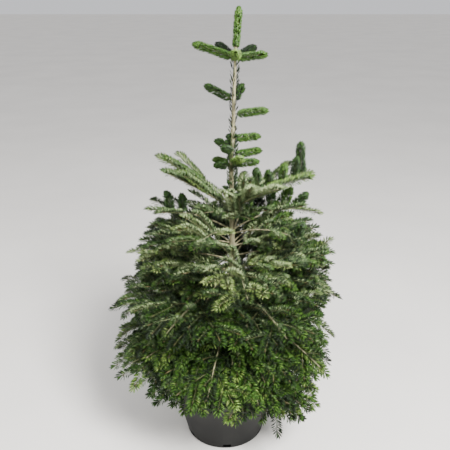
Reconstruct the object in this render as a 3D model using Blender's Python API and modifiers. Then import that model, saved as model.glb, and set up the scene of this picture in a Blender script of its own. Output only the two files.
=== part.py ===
"""Potted Nordmann fir, about 1.36 m tall with its nursery pot.

Units are metres and degrees. +Z is up, -Y is the side that faces the viewer, and the origin is
the middle of the pot's flat underside. Azimuths are measured from +X towards +Y.
"""

import math
import random

import bmesh
import bpy
from mathutils import Matrix, Vector
from mathutils.bvhtree import BVHTree

UNION_SOLVER = "MANIFOLD"
CUT_SOLVER = "EXACT"
CLEAR = 0.0003
# A stem's root stands this far off the end of its bough, because their faces are a few degrees
# from parallel and so come closer at one edge
ROOT_CLEAR = 0.0007
WELD = 0.00001

# Pot: a thin turned container with a rolled rim and slots through its bottom edge
POT_HEIGHT = 0.256
POT_BASE_RADIUS = 0.130
POT_EDGE = 0.010
POT_TAPER = 0.235
POT_WALL = 0.0022
POT_FLOOR = 0.004
RIM_HEIGHT = 0.012
RIM_OVERHANG = 0.006
RIM_FLAT_SHARE = 0.7
RIM_BEVEL = 0.002
EDGE_TURNS = (0, 30, 60, 90)
POT_SEGMENTS = 36
SLOT_COUNT = 6
SLOT_TURN = 3.0
SLOT_WIDTH = 0.026
SLOT_HEIGHT = 0.014
SLOT_DEPTH = 0.022
SLOT_OFFSET = 0.004

# Soil, slightly mounded round the trunk
SOIL_TOP = 0.236
SOIL_EDGE_DROP = 0.007
SOIL_FLAT_RADIUS = 0.045

# Trunk: places of its midline as height and sideways lean, and its taper
TRUNK_LEAN = ((SOIL_TOP + CLEAR, 0.012), (0.252, 0.012), (0.42, 0.017), (0.62, 0.022), (0.80, 0.021),
              (0.93, 0.018), (1.04, 0.0235), (1.14, 0.025), (1.262, 0.029))
TRUNK_FOOT_RADIUS = 0.0135
TRUNK_TIP_RADIUS = 0.0043
TRUNK_TAPER = 1.3
FLARE_RADIUS = 0.0060
FLARE_HEIGHT = 0.022
FLARE_STEPS = (0.0, 0.008)
STEPS_ABOVE = (0.032,)
LEADER_TIP = (0.036, 0.0, 1.364)

# Whorls of long boughs, from the top. Rise at the trunk and sag are shares of the reach. A bough
# is bare up to the share "bare". Its laterals leave it at the "levels" of the list below, fan out
# by "spread", a share of their usual angle, are "lateral" as long as the reach that is left at
# their root, and lift above the bough's plane by "lift" degrees. Each bough has its azimuth, its
# own share of the reach, and what it adds to the rise.
WHORLS = {
    2: {"height": 0.800, "reach": 0.268, "rise": 0.62, "sag": 0.12, "bare": 0.12, "spread": 0.45,
        "lateral": 0.50, "lift": 3.0, "levels": (0,),
        "boughs": ((-56, 0.85, 0.06), (13, 0.95, -0.18), (58, 0.665, -0.20), (165, 0.88, 0.08),
                   (192, 0.79, 0.13))},
    3: {"height": 0.718, "reach": 0.296, "rise": 0.68, "sag": 0.42, "bare": 0.46, "spread": 0.90,
        "lateral": 0.50, "lift": 10.0, "levels": (1, 2),
        "boughs": ((-38, 0.855, -0.12), (18, 0.84, -0.10), (72, 0.87, -0.16), (176, 0.81, -0.06),
                   (246, 0.905, -0.08))},
    4: {"height": 0.630, "reach": 0.338, "rise": 0.42, "sag": 0.32, "bare": 0.28, "spread": 1.0,
        "lateral": 0.64, "lift": 4.0, "levels": (0, 1, 2),
        "boughs": ((-84, 0.94, -0.04), (-8, 0.84, -0.03), (66, 0.95, -0.05), (128, 0.96, -0.05),
                   (190, 0.845, 0.0))},
    5: {"height": 0.540, "reach": 0.364, "rise": 0.26, "sag": 0.32, "bare": 0.28, "spread": 1.0,
        "lateral": 0.70, "lift": -6.0, "levels": (0, 1, 2),
        "boughs": ((-62, 0.94, 0.0), (8, 0.875, -0.04), (76, 0.97, 0.0), (132, 0.985, 0.0),
                   (188, 0.945, -0.03), (236, 0.94, 0.0))},
    6: {"height": 0.450, "reach": 0.384, "rise": 0.12, "sag": 0.34, "bare": 0.28, "spread": 1.0,
        "lateral": 0.72, "lift": -14.0, "levels": (0, 1, 2),
        "boughs": ((-100, 0.945, 0.0), (-36, 0.905, -0.06), (14, 0.86, -0.02), (72, 0.96, 0.0),
                   (142, 0.96, 0.0), (186, 0.945, 0.0))},
    7: {"height": 0.362, "reach": 0.386, "rise": 0.02, "sag": 0.26, "bare": 0.28, "spread": 1.0,
        "lateral": 0.72, "lift": -7.0, "levels": (0, 1, 2),
        "boughs": ((-75, 0.86, 0.07), (-50, 0.82, -0.03), (-8, 0.80, 0.04), (52, 0.94, 0.0),
                   (112, 0.96, 0.0), (206, 0.95, 0.14), (240, 0.82, 0.08))},
}
LETTERS = "abcdefg"
BOUGH_WHORLS = (2, 3)
LIMB_SHARES = (0.0, 0.4, 0.7, 1.0)
STEM_END = 0.92
STEM_STATIONS = 5
BOUGH_RADIUS = 0.0038
BOUGH_TIP_RADIUS = 0.0013
HEIGHT_STAGGER = 0.006
SIDE_BEND = 0.03
MIDLINE_STEP = 0.01

# Laterals of a bough: where they leave it as a share of its reach, at what angle, the teeth on
# each side of their spray, and the radius of the twig that carries it
LATERALS = ((0.34, 62.0, 2, 0.0019), (0.55, 54.0, 2, 0.0016), (0.75, 46.0, 1, 0.0))
LATERAL_LEAST = 0.066
# How far chance moves a lateral: its root's share, its length, its turn, its lift and its roll
SPOT_PLAY = 0.02
LENGTH_PLAY = (0.88, 1.12)
TURN_PLAY = 6.0
LIFT_PLAY = 7.0
ROLL_PLAY = (-0.5, 1.0)
TERMINAL_START = 0.70
TERMINAL_AIM = 0.9
TERMINAL_EXTRA = 0.01
TWIG_SHARE = 0.27
TWIG_SINK = 0.004
TWIG_TIP_SHARE = 0.30
SPRAY_START = 0.20
SPRAY_WIDTH_SHARE = 0.32
SPRAY_NARROWEST = 0.024
SPRAY_WIDEST = 0.052
SPRAY_THICKNESS = 0.0016
SPRAY_THICKNESS_SHARE = 0.012
SPRAY_ROLL = 16.0
# A tooth's valley and tip along its pitch, the valley's width, the room past the last tooth, and
# the half sine that swells the outline from its start to its tip
TOOTH_VALLEY = 0.12
TOOTH_LENGTH = 0.98
VALLEY_WIDTH = 0.42
LAST_TOOTH_ROOM = 0.6
SWELL_FROM = 0.30
SWELL_OVER = 0.48

# Short shoots of the top whorl: azimuth, rise and length
TOP_WHORL_HEIGHT = 1.2315
TOP_SHOOTS = ((-90, 16.0, 0.080), (-16, 9.0, 0.075), (54, 14.0, 0.086),
              (124, 20.0, 0.084), (200, 20.0, 0.112))
# Single short shoots of the bare stem: height, azimuth, rise and length
STEM_SHOOTS = ((1.118, 184, 29.0, 0.077), (1.116, 62, 38.0, 0.052),
               (1.078, -8, 9.0, 0.083), (1.008, 6, 5.0, 0.064))
# Crowded short shoots round the stem, all carried by one collar
CROWD_SHOOTS = ((0.984, 172, 22.0, 0.038), (0.974, 245, 20.0, 0.050), (0.934, 165, 12.0, 0.040),
                (0.928, 198, 8.0, 0.036), (0.958, 14, 8.0, 0.074), (0.933, -14, 10.0, 0.066),
                (0.938, -62, 25.0, 0.054), (0.978, 95, 20.0, 0.062))
COLLAR_LOW = 0.918
COLLAR_HIGH = 1.002
COLLAR_WALL = 0.0018
SHOOT_HALF_WIDTH = 0.0125
SHOOT_STEM_RADIUS = 0.0020
SHOOT_STEM_SHARE = 0.82
SHOOT_STEM_TAPER = 0.6
LEADER_STEM_SHARE = 0.9
LEADER_STEM_TAPER = 0.4
LEADER_TEETH = 4
# The crossed blades of a brush: where they start, how far they are turned, and how much shorter
# each is than the one before
BRUSH_START = 0.12
BRUSH_TURN = 0.28
BRUSH_STEP = 0.05
BRUSH_TEETH = 2

# A candidate spray stays this far from everything that isn't its own mass
KEEP_OFF = 0.0009
TRIES = ((0.0, 0.0, 1.0), (9.0, 7.0, 1.0), (-9.0, -7.0, 0.95), (16.0, 12.0, 0.9), (-16.0, -12.0, 0.9),
         (0.0, 20.0, 0.8), (0.0, -20.0, 0.8), (12.0, 0.0, 0.65), (-12.0, 0.0, 0.65))

BARK = (0.21, 0.17, 0.115)
NEEDLE_GREEN = (0.10, 0.20, 0.045)
NEEDLE_PALE = (0.17, 0.24, 0.10)
POT_GREY = (0.045, 0.046, 0.048)
SOIL_BROWN = (0.035, 0.024, 0.016)


def finish(name, colour, roughness):
    material = bpy.data.materials.new(name)
    material.use_nodes = True
    shader = material.node_tree.nodes["Principled BSDF"]
    shader.inputs["Base Color"].default_value = (*colour, 1.0)
    shader.inputs["Roughness"].default_value = roughness
    shader.inputs["Metallic"].default_value = 0.0
    return material


def bare_object(name, data, collection):
    item = bpy.data.objects.new(name, data)
    collection.objects.link(item)
    return item


def evaluated_mesh(item, weld=0.0):
    """The shape that an object's modifiers or curve settings give, as a new mesh."""
    bpy.context.view_layer.update()
    view = bpy.context.evaluated_depsgraph_get()
    mesh = bpy.data.meshes.new_from_object(item.evaluated_get(view))
    if weld:
        shape = bmesh.new()
        shape.from_mesh(mesh)
        bmesh.ops.remove_doubles(shape, verts=shape.verts, dist=weld)
        shape.to_mesh(mesh)
        shape.free()
    return mesh


def turned(name, profile, collection):
    """A profile of (radius, height) points, run down its outer side, turned round Z."""
    shape = bmesh.new()
    corners = [shape.verts.new((radius, 0.0, height)) for radius, height in profile]
    for first, second in zip(corners, corners[1:]):
        shape.edges.new((first, second))
    mesh = bpy.data.meshes.new(name)
    shape.to_mesh(mesh)
    shape.free()
    item = bare_object(name, mesh, collection)
    turn = item.modifiers.new("Turn", "SCREW")
    turn.steps = POT_SEGMENTS
    turn.render_steps = POT_SEGMENTS
    turn.use_merge_vertices = True
    turn.merge_threshold = WELD
    return item


def tube(name, points, radii, resolution, collection):
    """A round limb along points, with a radius at each, as one closed mesh object."""
    curve = bpy.data.curves.new(name, "CURVE")
    curve.dimensions = "3D"
    curve.bevel_depth = 1.0
    curve.bevel_resolution = resolution
    curve.use_fill_caps = True
    spline = curve.splines.new("POLY")
    spline.points.add(len(points) - 1)
    for corner, place, radius in zip(spline.points, points, radii):
        corner.co = (*place, 1.0)
        corner.radius = radius
    item = bare_object(name + "_path", curve, collection)
    made = bare_object(name, evaluated_mesh(item, WELD), collection)
    bpy.data.objects.remove(item, do_unlink=True)
    return made


def trunk_point(height):
    """The trunk's midline at a height, on straight runs between its named places."""
    for (low, low_x), (high, high_x) in zip(TRUNK_LEAN, TRUNK_LEAN[1:]):
        if height <= high:
            break
    share = (height - low) / (high - low)
    return Vector((low_x + (high_x - low_x) * share, 0.0, height))


def trunk_radius(height):
    foot, top = TRUNK_LEAN[0][0], TRUNK_LEAN[-1][0]
    left = max(0.0, (top - height) / (top - foot))
    taper = TRUNK_TIP_RADIUS + (TRUNK_FOOT_RADIUS - TRUNK_TIP_RADIUS) * left ** TRUNK_TAPER
    return taper + FLARE_RADIUS * math.exp((foot - height) / FLARE_HEIGHT)


def trunk_stations():
    """Heights where the trunk's section is set: close together in the root flare."""
    foot = TRUNK_LEAN[0][0]
    flare = [foot + step for step in FLARE_STEPS]
    above = [foot + step for step in STEPS_ABOVE]
    return flare + [TRUNK_LEAN[1][0]] + above + [height for height, _ in TRUNK_LEAN[2:]]


def make_trunk(name, extra, collection):
    stations = trunk_stations()
    points = [trunk_point(height) for height in stations]
    radii = [trunk_radius(height) + extra for height in stations]
    if extra:
        points[0] = points[0] - Vector((0.0, 0.0, extra))
        points[-1] = points[-1] + Vector((0.0, 0.0, extra))
    return tube(name, points, radii, 3, collection)


def heading(azimuth, rise=0.0):
    """The unit direction at an azimuth, lifted by a rise above the level."""
    flat = math.cos(math.radians(rise))
    return Vector((flat * math.cos(math.radians(azimuth)), flat * math.sin(math.radians(azimuth)),
                   math.sin(math.radians(rise))))


class Bough:
    """One bough's midline, from the trunk's axis (share 0) to its furthest tip (share 1)."""

    def __init__(self, whorl, index):
        shape = WHORLS[whorl]
        self.label = f"{whorl}{LETTERS[index]}"
        self.whorl = whorl
        self.azimuth, reach_share, extra_rise = shape["boughs"][index]
        self.reach = shape["reach"] * reach_share
        self.rise = shape["rise"] + extra_rise
        self.sag = shape["sag"]
        self.bare = shape["bare"]
        self.spread = shape["spread"]
        self.lateral = shape["lateral"]
        self.lift = shape["lift"]
        self.levels = shape["levels"]
        self.bend = SIDE_BEND * random.Random(self.label).uniform(-1.0, 1.0)
        stagger = HEIGHT_STAGGER * (1 if index % 2 else -1)
        self.root = trunk_point(shape["height"] + stagger)

    def point(self, share):
        out = heading(self.azimuth) * (share * self.reach)
        across = heading(self.azimuth + 90.0) * (self.bend * self.reach * share * share)
        climb = self.reach * (self.rise * share - self.sag * share * share)
        return self.root + out + across + Vector((0.0, 0.0, climb))

    def forward(self, share):
        return (self.point(share + MIDLINE_STEP) - self.point(share - MIDLINE_STEP)).normalized()

    def up(self, share):
        ahead = self.forward(share)
        side = Vector((0.0, 0.0, 1.0)).cross(ahead).normalized()
        return ahead.cross(side)

    def radius(self, share):
        return BOUGH_TIP_RADIUS + (BOUGH_RADIUS - BOUGH_TIP_RADIUS) * (1.0 - share)


def frame(base, ahead, up):
    """A place whose X axis runs ahead along a shoot and whose Z axis is as near up as can be."""
    ahead = ahead.normalized()
    side = up.cross(ahead).normalized()
    place = Matrix((ahead, side, ahead.cross(side))).transposed().to_4x4()
    place.translation = base
    return place


def blade_outline(start, length, half_width, teeth, margin):
    """One toothed outline along +X: teeth point ahead, like needles, and shorten to the tip."""
    pitch = (length - start) / (teeth + LAST_TOOTH_ROOM)
    near = []
    for tooth in range(teeth):
        swell = math.sin(math.pi * (SWELL_FROM + SWELL_OVER * (tooth + 1) / teeth))
        valley = start + (tooth + TOOTH_VALLEY) * pitch
        near.append((valley, VALLEY_WIDTH * half_width * swell + margin))
        near.append((valley + TOOTH_LENGTH * pitch, half_width * swell + margin))
    far = [(along, -across) for along, across in reversed(near)]
    return [(start - margin, 0.0)] + near + [(length + margin, 0.0)] + far


def blade(name, outline, thickness, place, collection):
    """A flat spray of needles of the given outline and thickness."""
    curve = bpy.data.curves.new(name, "CURVE")
    curve.dimensions = "2D"
    curve.fill_mode = "BOTH"
    curve.extrude = 0.5 * thickness
    spline = curve.splines.new("POLY")
    spline.points.add(len(outline) - 1)
    for corner, (along, across) in zip(spline.points, outline):
        corner.co = (along, across, 0.0, 1.0)
    spline.use_cyclic_u = True
    item = bare_object(name + "_outline", curve, collection)
    mesh = evaluated_mesh(item, WELD)
    bpy.data.objects.remove(item, do_unlink=True)
    mesh.transform(place)
    return bare_object(name, mesh, collection)


def twig(name, length, radius, place, collection):
    """A straight twig of three sides along the place's X axis."""
    shape = bmesh.new()
    bmesh.ops.create_cone(shape, cap_ends=True, segments=3, radius1=radius, radius2=TWIG_TIP_SHARE * radius,
                          depth=length)
    along_x = Matrix.Translation((0.5 * length, 0.0, 0.0)) @ Matrix.Rotation(math.pi / 2, 4, "Y")
    bmesh.ops.transform(shape, matrix=place @ along_x, verts=shape.verts)
    mesh = bpy.data.meshes.new(name)
    shape.to_mesh(mesh)
    shape.free()
    return bare_object(name, mesh, collection)


def surface_tree(item):
    return BVHTree.FromPolygons([item.matrix_world @ v.co for v in item.data.vertices],
                                [tuple(face.vertices) for face in item.data.polygons])


class Mass:
    """A mass of foliage: a stem, the twigs and sprays accepted so far, and the space they take."""

    def __init__(self, name, stem, meets_trunk=False):
        self.name = name
        self.stem = stem
        self.meets_trunk = meets_trunk
        self.pieces = []
        self.trees = [surface_tree(stem)]


class Plant:
    """The growing plant: its limbs, its masses and the collections they are kept in."""

    def __init__(self, collection, scratch):
        self.collection = collection
        self.scratch = scratch
        self.solid_trees = []
        self.masses = []

    def is_free(self, mass, item):
        tree = surface_tree(item)
        if any(tree.overlap(solid) for solid in self.solid_trees):
            return False
        return not any(tree.overlap(other_tree) for other in self.masses if other is not mass
                       for other_tree in other.trees)

    def add(self, mass, item):
        mass.pieces.append(item)
        mass.trees.append(surface_tree(item))

    def try_spray(self, mass, base, ahead, up, length, half_width, teeth, twig_radius, rooted=False):
        """Adds one spray on its own twig where it is clear of all else, or skips it."""
        for pitch, roll, size in TRIES:
            side = up.cross(ahead).normalized()
            turned_ahead = Matrix.Rotation(math.radians(pitch), 3, side) @ ahead
            turned_up = Matrix.Rotation(math.radians(roll), 3, turned_ahead) @ up
            place = frame(base, turned_ahead, turned_up)
            long = length * size
            wide = half_width * (0.5 + 0.5 * size)
            start = SPRAY_START * long if twig_radius or rooted else 0.0
            thickness = max(SPRAY_THICKNESS, SPRAY_THICKNESS_SHARE * long)
            outline = blade_outline(start, long, wide, teeth, KEEP_OFF)
            feeler = blade("feeler", outline, thickness + 2 * KEEP_OFF, place, self.scratch)
            clear = self.is_free(mass, feeler)
            bpy.data.objects.remove(feeler, do_unlink=True)
            if clear and twig_radius:
                reach = frame(base + turned_ahead * TWIG_SINK, turned_ahead, turned_up)
                feeler = twig("feeler", TWIG_SHARE * long, twig_radius + KEEP_OFF, reach, self.scratch)
                clear = self.is_free(mass, feeler)
                bpy.data.objects.remove(feeler, do_unlink=True)
            if clear:
                outline = blade_outline(start, long, wide, teeth, 0.0)
                self.add(mass, blade(mass.name + "_spray", outline, thickness, place, self.scratch))
                if twig_radius:
                    self.add(mass, twig(mass.name + "_twig", TWIG_SHARE * long, twig_radius, place,
                                        self.scratch))
                return True
        return False


def union(mass, collection):
    """Joins a mass's stem, twigs and sprays into one closed body."""
    pieces = bpy.data.collections.new(mass.name + "_pieces")
    bpy.context.scene.collection.children.link(pieces)
    for item in mass.pieces:
        pieces.objects.link(item)
    join = mass.stem.modifiers.new("Join", "BOOLEAN")
    join.operation = "UNION"
    join.operand_type = "COLLECTION"
    join.collection = pieces
    join.solver = UNION_SOLVER
    made = bare_object(mass.name, evaluated_mesh(mass.stem), collection)
    for item in list(pieces.objects) + [mass.stem]:
        bpy.data.objects.remove(item, do_unlink=True)
    bpy.data.collections.remove(pieces)
    return made


def cut(item, cutter):
    """Cuts an object clear of another and applies the result."""
    trim = item.modifiers.new("Cut", "BOOLEAN")
    trim.operation = "DIFFERENCE"
    trim.object = cutter
    trim.solver = CUT_SOLVER
    mesh = evaluated_mesh(item)
    item.modifiers.remove(trim)
    item.data = mesh


def island_of(face, seen):
    """All faces that shared edges join to one face."""
    island, waiting = [], [face]
    seen.add(face)
    while waiting:
        here = waiting.pop()
        island.append(here)
        for there in {near for edge in here.edges for near in edge.link_faces}:
            if there not in seen:
                seen.add(there)
                waiting.append(there)
    return island


def keep_main_body(item):
    """Drops loose scraps that a cut leaves: only the island with most faces stays."""
    shape = bmesh.new()
    shape.from_mesh(item.data)
    seen, islands = set(), []
    for face in shape.faces:
        if face not in seen:
            islands.append(island_of(face, seen))
    islands.sort(key=len)
    for scrap in islands[:-1]:
        bmesh.ops.delete(shape, geom=scrap, context="FACES")
    shape.to_mesh(item.data)
    shape.free()


def pot_radius(height):
    return POT_BASE_RADIUS + POT_TAPER * (height - POT_EDGE)


def make_pot(collection, cutters):
    inner_low = pot_radius(POT_EDGE) - POT_WALL
    rim_low = POT_HEIGHT - RIM_HEIGHT
    edge = [(POT_BASE_RADIUS - POT_EDGE + POT_EDGE * math.cos(math.radians(turn)),
             POT_EDGE - POT_EDGE * math.sin(math.radians(turn))) for turn in EDGE_TURNS]
    profile = [(0.0, POT_FLOOR), (inner_low - POT_EDGE, POT_FLOOR),
               (inner_low, POT_EDGE + POT_FLOOR), (pot_radius(POT_HEIGHT) - POT_WALL, POT_HEIGHT),
               (pot_radius(POT_HEIGHT) + RIM_FLAT_SHARE * RIM_OVERHANG, POT_HEIGHT),
               (pot_radius(POT_HEIGHT) + RIM_OVERHANG, POT_HEIGHT - RIM_BEVEL),
               (pot_radius(rim_low) + RIM_OVERHANG, rim_low), (pot_radius(rim_low), rim_low)]
    pot = turned("pot", profile + edge + [(0.0, 0.0)], collection)
    for number in range(SLOT_COUNT):
        azimuth = -90.0 + SLOT_TURN + number * 360.0 / SLOT_COUNT
        bpy.ops.mesh.primitive_cube_add(size=1.0)
        cutter = bpy.context.object
        cutter.name = f"slot_cutter_{number + 1}"
        cutter.location = heading(azimuth) * (POT_BASE_RADIUS + SLOT_OFFSET)
        cutter.rotation_euler = (0.0, 0.0, math.radians(azimuth))
        cutter.scale = (SLOT_DEPTH, SLOT_WIDTH, 2 * SLOT_HEIGHT)
        cutter.hide_render = True
        cutter.display_type = "WIRE"
        for holder in list(cutter.users_collection):
            holder.objects.unlink(cutter)
        cutters.objects.link(cutter)
        slot = pot.modifiers.new(f"Slot {number + 1}", "BOOLEAN")
        slot.operation = "DIFFERENCE"
        slot.object = cutter
        slot.solver = CUT_SOLVER
    return pot


def make_soil(collection):
    inner_low = pot_radius(POT_EDGE) - POT_WALL - CLEAR
    bed = POT_FLOOR + CLEAR
    edge_height = SOIL_TOP - SOIL_EDGE_DROP
    profile = [(0.0, SOIL_TOP), (SOIL_FLAT_RADIUS, SOIL_TOP),
               (pot_radius(edge_height) - POT_WALL - 2 * CLEAR, edge_height),
               (inner_low - CLEAR, POT_EDGE + POT_FLOOR), (inner_low - POT_EDGE, bed), (0.0, bed)]
    return turned("soil", profile, collection)


def make_bough(bough, plant, cutter):
    """The bare stretch of a bough, from the trunk to where its foliage starts."""
    shares = [bough.bare * share for share in LIMB_SHARES]
    item = tube(f"bough_{bough.label}", [bough.point(share) for share in shares],
                [bough.radius(share) for share in shares], 1, plant.collection)
    cut(item, cutter)
    keep_main_body(item)
    plant.solid_trees.append(surface_tree(item))


def start_bough_mass(bough, plant):
    has_limb = bough.whorl in BOUGH_WHORLS
    first = bough.bare + ROOT_CLEAR / bough.reach if has_limb else 0.0
    step = (STEM_END - first) / (STEM_STATIONS - 1)
    shares = [first + step * station for station in range(STEM_STATIONS)]
    stem = tube(f"foliage_{bough.label}_stem", [bough.point(share) for share in shares],
                [bough.radius(share) for share in shares], 0, plant.scratch)
    mass = Mass(f"foliage_{bough.label}", stem, meets_trunk=not has_limb)
    mass.bough = bough
    plant.masses.append(mass)
    return mass


def lateral_length(bough, share, draw):
    return (bough.lateral * (1.0 - share) * bough.reach + LATERAL_LEAST) * draw.uniform(*LENGTH_PLAY)


def spray_half_width(length):
    return min(max(SPRAY_WIDTH_SHARE * length, SPRAY_NARROWEST), SPRAY_WIDEST)


def grow_terminal(mass, plant):
    """The spray at a bough's end, which reaches exactly to its furthest tip."""
    bough = mass.bough
    ahead = bough.forward(TERMINAL_AIM)
    length = (1.0 - TERMINAL_START) * bough.reach / (1.0 - SPRAY_START) + TERMINAL_EXTRA
    plant.try_spray(mass, bough.point(1.0) - ahead * length, ahead, bough.up(TERMINAL_AIM), length,
                    spray_half_width(length), 2, 0.0, True)


def grow_lateral(mass, level, side, plant):
    """One lateral's spray: its turn, lift and roll as the tables and chance give them."""
    bough = mass.bough
    share, angle, teeth, twig_radius = LATERALS[level]
    draw = random.Random(f"{bough.label}-{level}-{side}")
    share = share + draw.uniform(-SPOT_PLAY, SPOT_PLAY)
    length = lateral_length(bough, share, draw)
    turn = math.radians(side * (angle * bough.spread + draw.uniform(-TURN_PLAY, TURN_PLAY)))
    ahead = Matrix.Rotation(turn, 3, bough.up(share)) @ bough.forward(share)
    across = bough.up(share).cross(ahead)
    lift = bough.lift + draw.uniform(-LIFT_PLAY, LIFT_PLAY)
    ahead = Matrix.Rotation(math.radians(-lift), 3, across) @ ahead
    roll = side * draw.uniform(*ROLL_PLAY) * SPRAY_ROLL
    up = Matrix.Rotation(math.radians(roll), 3, ahead) @ bough.up(share)
    plant.try_spray(mass, bough.point(share), ahead, up, length, spray_half_width(length), teeth,
                    twig_radius)


def brush(mass, base, ahead, length, half_width, planes, teeth, plant):
    """A shoot with needles all round: toothed blades that cross on one stem."""
    up = Vector((0.0, 0.0, 1.0)) if abs(ahead.z) < 0.9 else Vector((1.0, 0.0, 0.0))
    for plane in range(planes):
        roll = math.pi * (plane + BRUSH_TURN) / planes
        turned_up = Matrix.Rotation(roll, 3, ahead) @ up
        reach = length * (1.0 - BRUSH_STEP * plane)
        outline = blade_outline(BRUSH_START * reach, reach, half_width, teeth, 0.0)
        thickness = max(SPRAY_THICKNESS, SPRAY_THICKNESS_SHARE * length)
        plant.add(mass, blade(mass.name + "_spray", outline, thickness,
                              frame(base, ahead, turned_up), plant.scratch))


def make_shoot(name, height, azimuth, rise, length, plant, mass=None, planes=2):
    """A short shoot straight from the trunk, on a stem of its own or on a collar's."""
    ahead = heading(azimuth, rise)
    root = trunk_point(height)
    base = root + heading(azimuth) * (trunk_radius(height) + CLEAR)
    stem = tube(name + "_stem", [root, base + ahead * (SHOOT_STEM_SHARE * length)],
                [SHOOT_STEM_RADIUS, SHOOT_STEM_TAPER * SHOOT_STEM_RADIUS], 0, plant.scratch)
    if mass:
        plant.add(mass, stem)
    else:
        mass = Mass(name, stem, meets_trunk=True)
        plant.masses.append(mass)
    brush(mass, base, ahead, length, SHOOT_HALF_WIDTH, planes, BRUSH_TEETH, plant)
    return mass


def make_leader(plant):
    """The upright shoot at the top, from just above the trunk's end to the tree's tip."""
    foot = trunk_point(TRUNK_LEAN[-1][0]) + Vector((0.0, 0.0, CLEAR))
    tip = Vector(LEADER_TIP)
    ahead = (tip - foot).normalized()
    length = (tip - foot).length
    stem = tube("leader_stem", [foot, foot + ahead * (LEADER_STEM_SHARE * length)],
                [TRUNK_TIP_RADIUS, LEADER_STEM_TAPER * TRUNK_TIP_RADIUS], 0, plant.scratch)
    mass = Mass("leader", stem)
    plant.masses.append(mass)
    brush(mass, foot, ahead, length, SHOOT_HALF_WIDTH, 2, LEADER_TEETH, plant)


def make_collar(plant):
    """Crowded short shoots, carried by a thin collar that the trunk passes through."""
    heights = (COLLAR_LOW, 0.5 * (COLLAR_LOW + COLLAR_HIGH), COLLAR_HIGH)
    stem = tube("crowded_shoots_stem", [trunk_point(height) for height in heights],
                [trunk_radius(height) + CLEAR + COLLAR_WALL for height in heights], 2, plant.scratch)
    mass = Mass("crowded_shoots", stem, meets_trunk=True)
    plant.masses.append(mass)
    for height, azimuth, rise, length in CROWD_SHOOTS:
        make_shoot("crowd", height, azimuth, rise, length, plant, mass, 1)


def main():
    for item in list(bpy.data.objects):
        bpy.data.objects.remove(item, do_unlink=True)
    scene = bpy.context.scene
    fir = bpy.data.collections.new("Potted Nordmann fir")
    cutters = bpy.data.collections.new("Cutters")
    scratch = bpy.data.collections.new("Growing")
    for collection in (fir, cutters, scratch):
        scene.collection.children.link(collection)
    bark = finish("Bark", BARK, 0.85)
    needles = finish("Needles", NEEDLE_GREEN, 0.5)
    pale_needles = finish("Pale needles", NEEDLE_PALE, 0.5)

    pot = make_pot(fir, cutters)
    pot.data.materials.append(finish("Pot plastic", POT_GREY, 0.55))
    soil = make_soil(fir)
    soil.data.materials.append(finish("Soil", SOIL_BROWN, 0.95))
    trunk = make_trunk("trunk", 0.0, fir)
    cutter = make_trunk("trunk_cutter", CLEAR, cutters)
    cutter.hide_render = True
    cutter.display_type = "WIRE"

    plant = Plant(fir, scratch)
    bpy.context.view_layer.update()
    plant.solid_trees = [BVHTree.FromObject(pot, bpy.context.evaluated_depsgraph_get()),
                         surface_tree(trunk)]
    make_leader(plant)
    for number, (azimuth, rise, length) in enumerate(TOP_SHOOTS):
        make_shoot(f"top_shoot_{number + 1}", TOP_WHORL_HEIGHT, azimuth, rise, length, plant)
    for number, (height, azimuth, rise, length) in enumerate(STEM_SHOOTS):
        make_shoot(f"stem_shoot_{number + 1}", height, azimuth, rise, length, plant)
    make_collar(plant)

    boughs = [Bough(whorl, index) for whorl, shape in WHORLS.items()
              for index in range(len(shape["boughs"]))]
    for bough in boughs:
        if bough.whorl in BOUGH_WHORLS:
            make_bough(bough, plant, cutter)
    fans = [start_bough_mass(bough, plant) for bough in boughs]
    for mass in fans:
        grow_terminal(mass, plant)
    for level in range(len(LATERALS)):
        for side in (-1, 1):
            for mass in fans:
                if level in mass.bough.levels:
                    grow_lateral(mass, level, side, plant)

    for mass in plant.masses:
        made = union(mass, fir)
        if mass.meets_trunk:
            cut(made, cutter)
        keep_main_body(made)
        young = made.name.startswith(("leader", "top", "stem", "crowd", "foliage_2"))
        made.data.materials.append(pale_needles if young else needles)
    for item in fir.objects:
        if not item.data.materials:
            item.data.materials.append(bark)
    bpy.data.collections.remove(scratch)


main()
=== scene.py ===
"""Looks of a potted Nordmann fir: needles, twigs, bark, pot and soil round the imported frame.

Units are metres and degrees. +Z is up and -Y is the side that faces the camera.
"""

import math
import random

import bmesh
import bpy
import numpy as np
from mathutils import Matrix, Vector, noise


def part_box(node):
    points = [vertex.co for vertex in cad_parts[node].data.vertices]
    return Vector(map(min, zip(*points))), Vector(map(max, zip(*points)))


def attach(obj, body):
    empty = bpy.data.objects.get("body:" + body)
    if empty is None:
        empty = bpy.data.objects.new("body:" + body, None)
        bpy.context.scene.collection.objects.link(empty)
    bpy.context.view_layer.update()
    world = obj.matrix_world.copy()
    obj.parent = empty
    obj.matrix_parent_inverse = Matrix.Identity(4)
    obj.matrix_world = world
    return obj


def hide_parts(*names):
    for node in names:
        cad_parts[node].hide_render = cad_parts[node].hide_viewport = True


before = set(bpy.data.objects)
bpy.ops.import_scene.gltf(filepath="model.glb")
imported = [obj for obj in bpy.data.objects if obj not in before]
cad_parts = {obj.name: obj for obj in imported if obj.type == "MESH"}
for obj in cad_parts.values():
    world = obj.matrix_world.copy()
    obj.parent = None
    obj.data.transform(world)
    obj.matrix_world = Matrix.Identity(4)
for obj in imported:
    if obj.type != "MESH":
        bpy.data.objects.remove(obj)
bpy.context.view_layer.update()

# Camera: a standing viewer's eye, looking a little down at the tree
EYE = (0.0, -1.685, 1.4195)
LOOK_DOWN = 21.92
LENS = 48.0

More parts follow.
